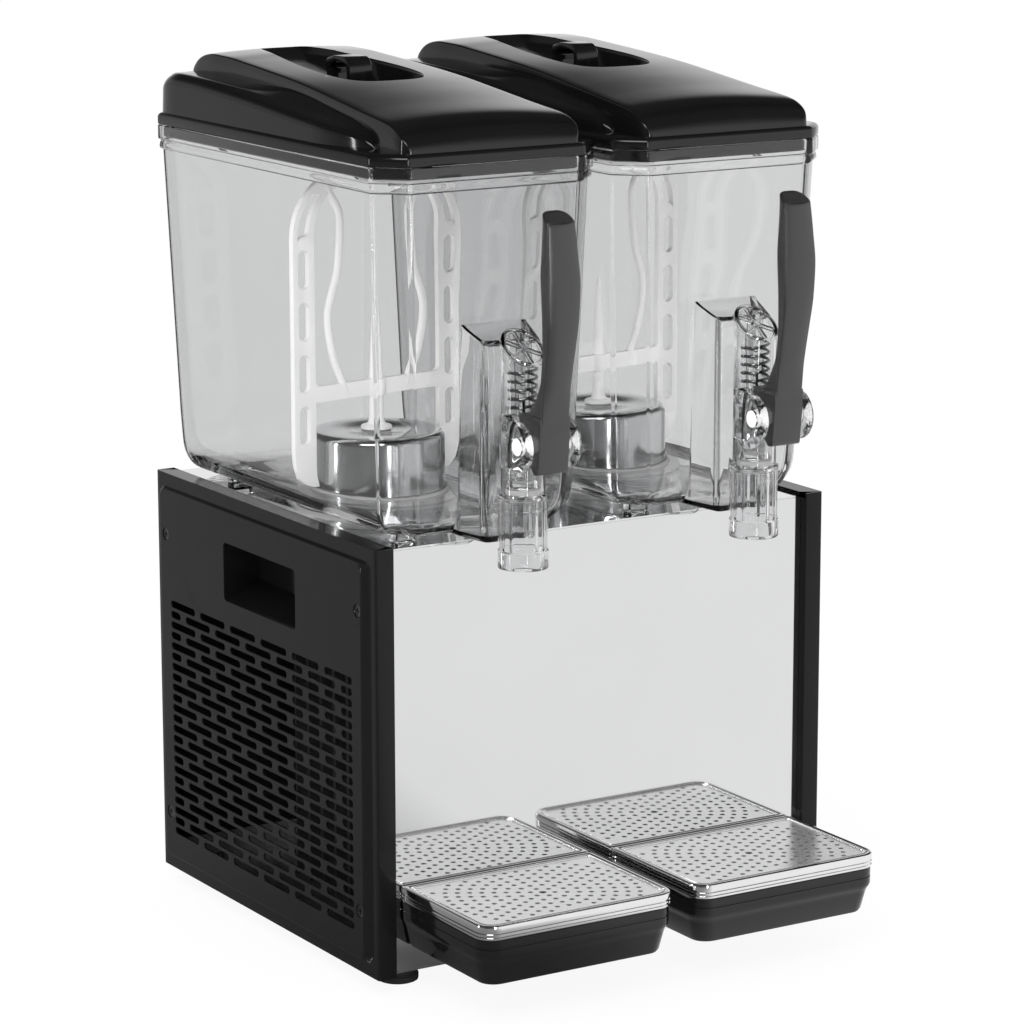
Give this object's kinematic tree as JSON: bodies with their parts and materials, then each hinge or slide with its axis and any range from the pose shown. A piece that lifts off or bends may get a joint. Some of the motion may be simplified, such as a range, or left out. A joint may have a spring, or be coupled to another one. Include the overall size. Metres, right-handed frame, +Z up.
{
  "type": "juice dispenser",
  "caption": "Countertop chilled juice dispenser with clear tanks, black lids, stirring paddles, lever taps and drip trays on a steel and black cabinet.",
  "frame": {"origin": "on the counter, under the middle of the whole machine's bounding box", "axes": "+X to the machine's right as seen from the front, +Y to the rear, +Z up"},
  "size_m": [0.436, 0.5134, 0.7289],
  "materials": {
    "black_paint": "satin black enamel",
    "polished_steel": "polished stainless",
    "plain_steel": "plain zinc plated",
    "clear_plastic": "clear moulding",
    "gloss_black": "gloss black",
    "dark_grip": "dark grey matt",
    "white_plastic": "white moulding",
    "soft_rubber": "black rubber",
    "grey_rubber": "grey silicone",
    "cast_black": "black enamel",
    "fin_aluminium": "plain"
  },
  "bodies": {
    "cabinet": {"base_pan": "plain_steel", "left_side_panel": "black_paint", "right_side_panel": "black_paint", "front_panel": "polished_steel", "rear_panel": "black_paint", "top_deck": "polished_steel", "foot_front_left": "soft_rubber", "foot_front_right": "soft_rubber", "foot_rear_left": "soft_rubber", "foot_rear_right": "soft_rubber", "left_evaporator": "polished_steel", "right_evaporator": "polished_steel", "left_hand_cup": "gloss_black", "right_hand_cup": "gloss_black", "compressor": "cast_black", "condenser": "fin_aluminium", "fan_shroud": "plain_steel", "fan_motor": "cast_black", "left_stir_motor": "cast_black", "right_stir_motor": "cast_black", "left_tank_gasket": "grey_rubber", "right_tank_gasket": "grey_rubber", "control_plate": "gloss_black", "thermostat": "plain_steel", "cord_gland": "gloss_black"},
    "fan": {"fan_blade": "fin_aluminium"},
    "knob": {"thermostat_knob": "gloss_black"},
    "main_rocker": {"power_switch": "gloss_black"},
    "left_tank": {"left_tank": "clear_plastic", "left_tap_barrel": "clear_plastic", "left_lever_pin": "white_plastic", "left_valve_spring": "polished_steel"},
    "left_lid": {"left_lid": "gloss_black"},
    "left_paddle": {"left_paddle": "white_plastic"},
    "left_rotor": {"left_drive_rotor": "plain_steel"},
    "left_lever": {"left_lever": "dark_grip"},
    "left_plunger": {"left_plunger": "white_plastic", "left_plunger_seal": "grey_rubber"},
    "left_tray": {"left_drip_basin": "gloss_black", "left_grid_bezel": "polished_steel"},
    "left_grid": {"left_drip_grid": "polished_steel"},
    "left_rocker": {"left_stir_switch": "gloss_black"},
    "right_tank": {"right_tank": "clear_plastic", "right_tap_barrel": "clear_plastic", "right_lever_pin": "white_plastic", "right_valve_spring": "polished_steel"},
    "right_lid": {"right_lid": "gloss_black"},
    "right_paddle": {"right_paddle": "white_plastic"},
    "right_rotor": {"right_drive_rotor": "plain_steel"},
    "right_lever": {"right_lever": "dark_grip"},
    "right_plunger": {"right_plunger": "white_plastic", "right_plunger_seal": "grey_rubber"},
    "right_tray": {"right_drip_basin": "gloss_black", "right_grid_bezel": "polished_steel"},
    "right_grid": {"right_drip_grid": "polished_steel"},
    "right_rocker": {"right_stir_switch": "gloss_black"}
  },
  "joints": [
    {"name": "fan_spin", "type": "hinge", "parent": "cabinet", "child": "fan", "pos_m": [-0.102, 0.05425, 0.1208], "axis": [1, 0, 0], "continuous": true},
    {"name": "thermostat_turn", "type": "hinge", "parent": "cabinet", "child": "knob", "pos_m": [-0.136, 0.24455, 0.284], "axis": [0, 1, 0], "range_deg": [0, 270]},
    {"name": "power_rocker", "type": "hinge", "parent": "cabinet", "child": "main_rocker", "pos_m": [-0.038, 0.24275, 0.284], "axis": [1, 0, 0], "range_deg": [-16, 0]},
    {"name": "left_stir_rocker", "type": "hinge", "parent": "cabinet", "child": "left_rocker", "pos_m": [-0.068, 0.24275, 0.284], "axis": [1, 0, 0], "range_deg": [-16, 0]},
    {"name": "left_tank_lift", "type": "slide", "parent": "cabinet", "child": "left_tank", "axis": [0, 0, 1], "range_m": [0, 0.2]},
    {"name": "left_lid_lift", "type": "slide", "parent": "left_tank", "child": "left_lid", "axis": [0, 0, 1], "range_m": [0, 0.15]},
    {"name": "left_paddle_spin", "type": "hinge", "parent": "left_tank", "child": "left_paddle", "pos_m": [-0.11, 0.04425, 0.43], "axis": [0, 0, 1], "continuous": true},
    {"name": "left_rotor_spin", "type": "hinge", "parent": "cabinet", "child": "left_rotor", "pos_m": [-0.11, 0.04425, 0.4], "axis": [0, 0, 1], "continuous": true},
    {"name": "left_lever_pull", "type": "hinge", "parent": "left_tank", "child": "left_lever", "pos_m": [-0.11, -0.21325, 0.4527], "axis": [1, 0, 0], "range_deg": [0, 25], "stiffness_Nm_per_rad": 0.8, "springref_deg": -17.19},
    {"name": "left_plunger_lift", "type": "slide", "parent": "left_tank", "child": "left_plunger", "axis": [0, 0, 1], "range_m": [0, 0.0125], "deforming": ["left_valve_spring"]},
    {"name": "left_tray_pull", "type": "slide", "parent": "cabinet", "child": "left_tray", "axis": [0, -1, 0], "range_m": [0, 0.06]},
    {"name": "left_grid_lift", "type": "slide", "parent": "left_tray", "child": "left_grid", "axis": [0, 0, 1], "range_m": [0, 0.05]},
    {"name": "right_stir_rocker", "type": "hinge", "parent": "cabinet", "child": "right_rocker", "pos_m": [-0.098, 0.24275, 0.284], "axis": [1, 0, 0], "range_deg": [-16, 0]},
    {"name": "right_tank_lift", "type": "slide", "parent": "cabinet", "child": "right_tank", "axis": [0, 0, 1], "range_m": [0, 0.2]},
    {"name": "right_lid_lift", "type": "slide", "parent": "right_tank", "child": "right_lid", "axis": [0, 0, 1], "range_m": [0, 0.15]},
    {"name": "right_paddle_spin", "type": "hinge", "parent": "right_tank", "child": "right_paddle", "pos_m": [0.11, 0.04425, 0.43], "axis": [0, 0, 1], "continuous": true},
    {"name": "right_rotor_spin", "type": "hinge", "parent": "cabinet", "child": "right_rotor", "pos_m": [0.11, 0.04425, 0.4], "axis": [0, 0, 1], "continuous": true},
    {"name": "right_lever_pull", "type": "hinge", "parent": "right_tank", "child": "right_lever", "pos_m": [0.11, -0.21325, 0.4527], "axis": [1, 0, 0], "range_deg": [0, 25], "stiffness_Nm_per_rad": 0.8, "springref_deg": -17.19},
    {"name": "right_plunger_lift", "type": "slide", "parent": "right_tank", "child": "right_plunger", "axis": [0, 0, 1], "range_m": [0, 0.0125], "deforming": ["right_valve_spring"]},
    {"name": "right_tray_pull", "type": "slide", "parent": "cabinet", "child": "right_tray", "axis": [0, -1, 0], "range_m": [0, 0.06]},
    {"name": "right_grid_lift", "type": "slide", "parent": "right_tray", "child": "right_grid", "axis": [0, 0, 1], "range_m": [0, 0.05]}
  ],
  "couplings": [
    {"joint": "left_plunger_lift", "follows": "left_lever_pull", "m_per_rad": 0.0285},
    {"joint": "left_paddle_spin", "follows": "left_rotor_spin", "ratio": 1},
    {"joint": "right_plunger_lift", "follows": "right_lever_pull", "m_per_rad": 0.0285},
    {"joint": "right_paddle_spin", "follows": "right_rotor_spin", "ratio": 1}
  ]
}
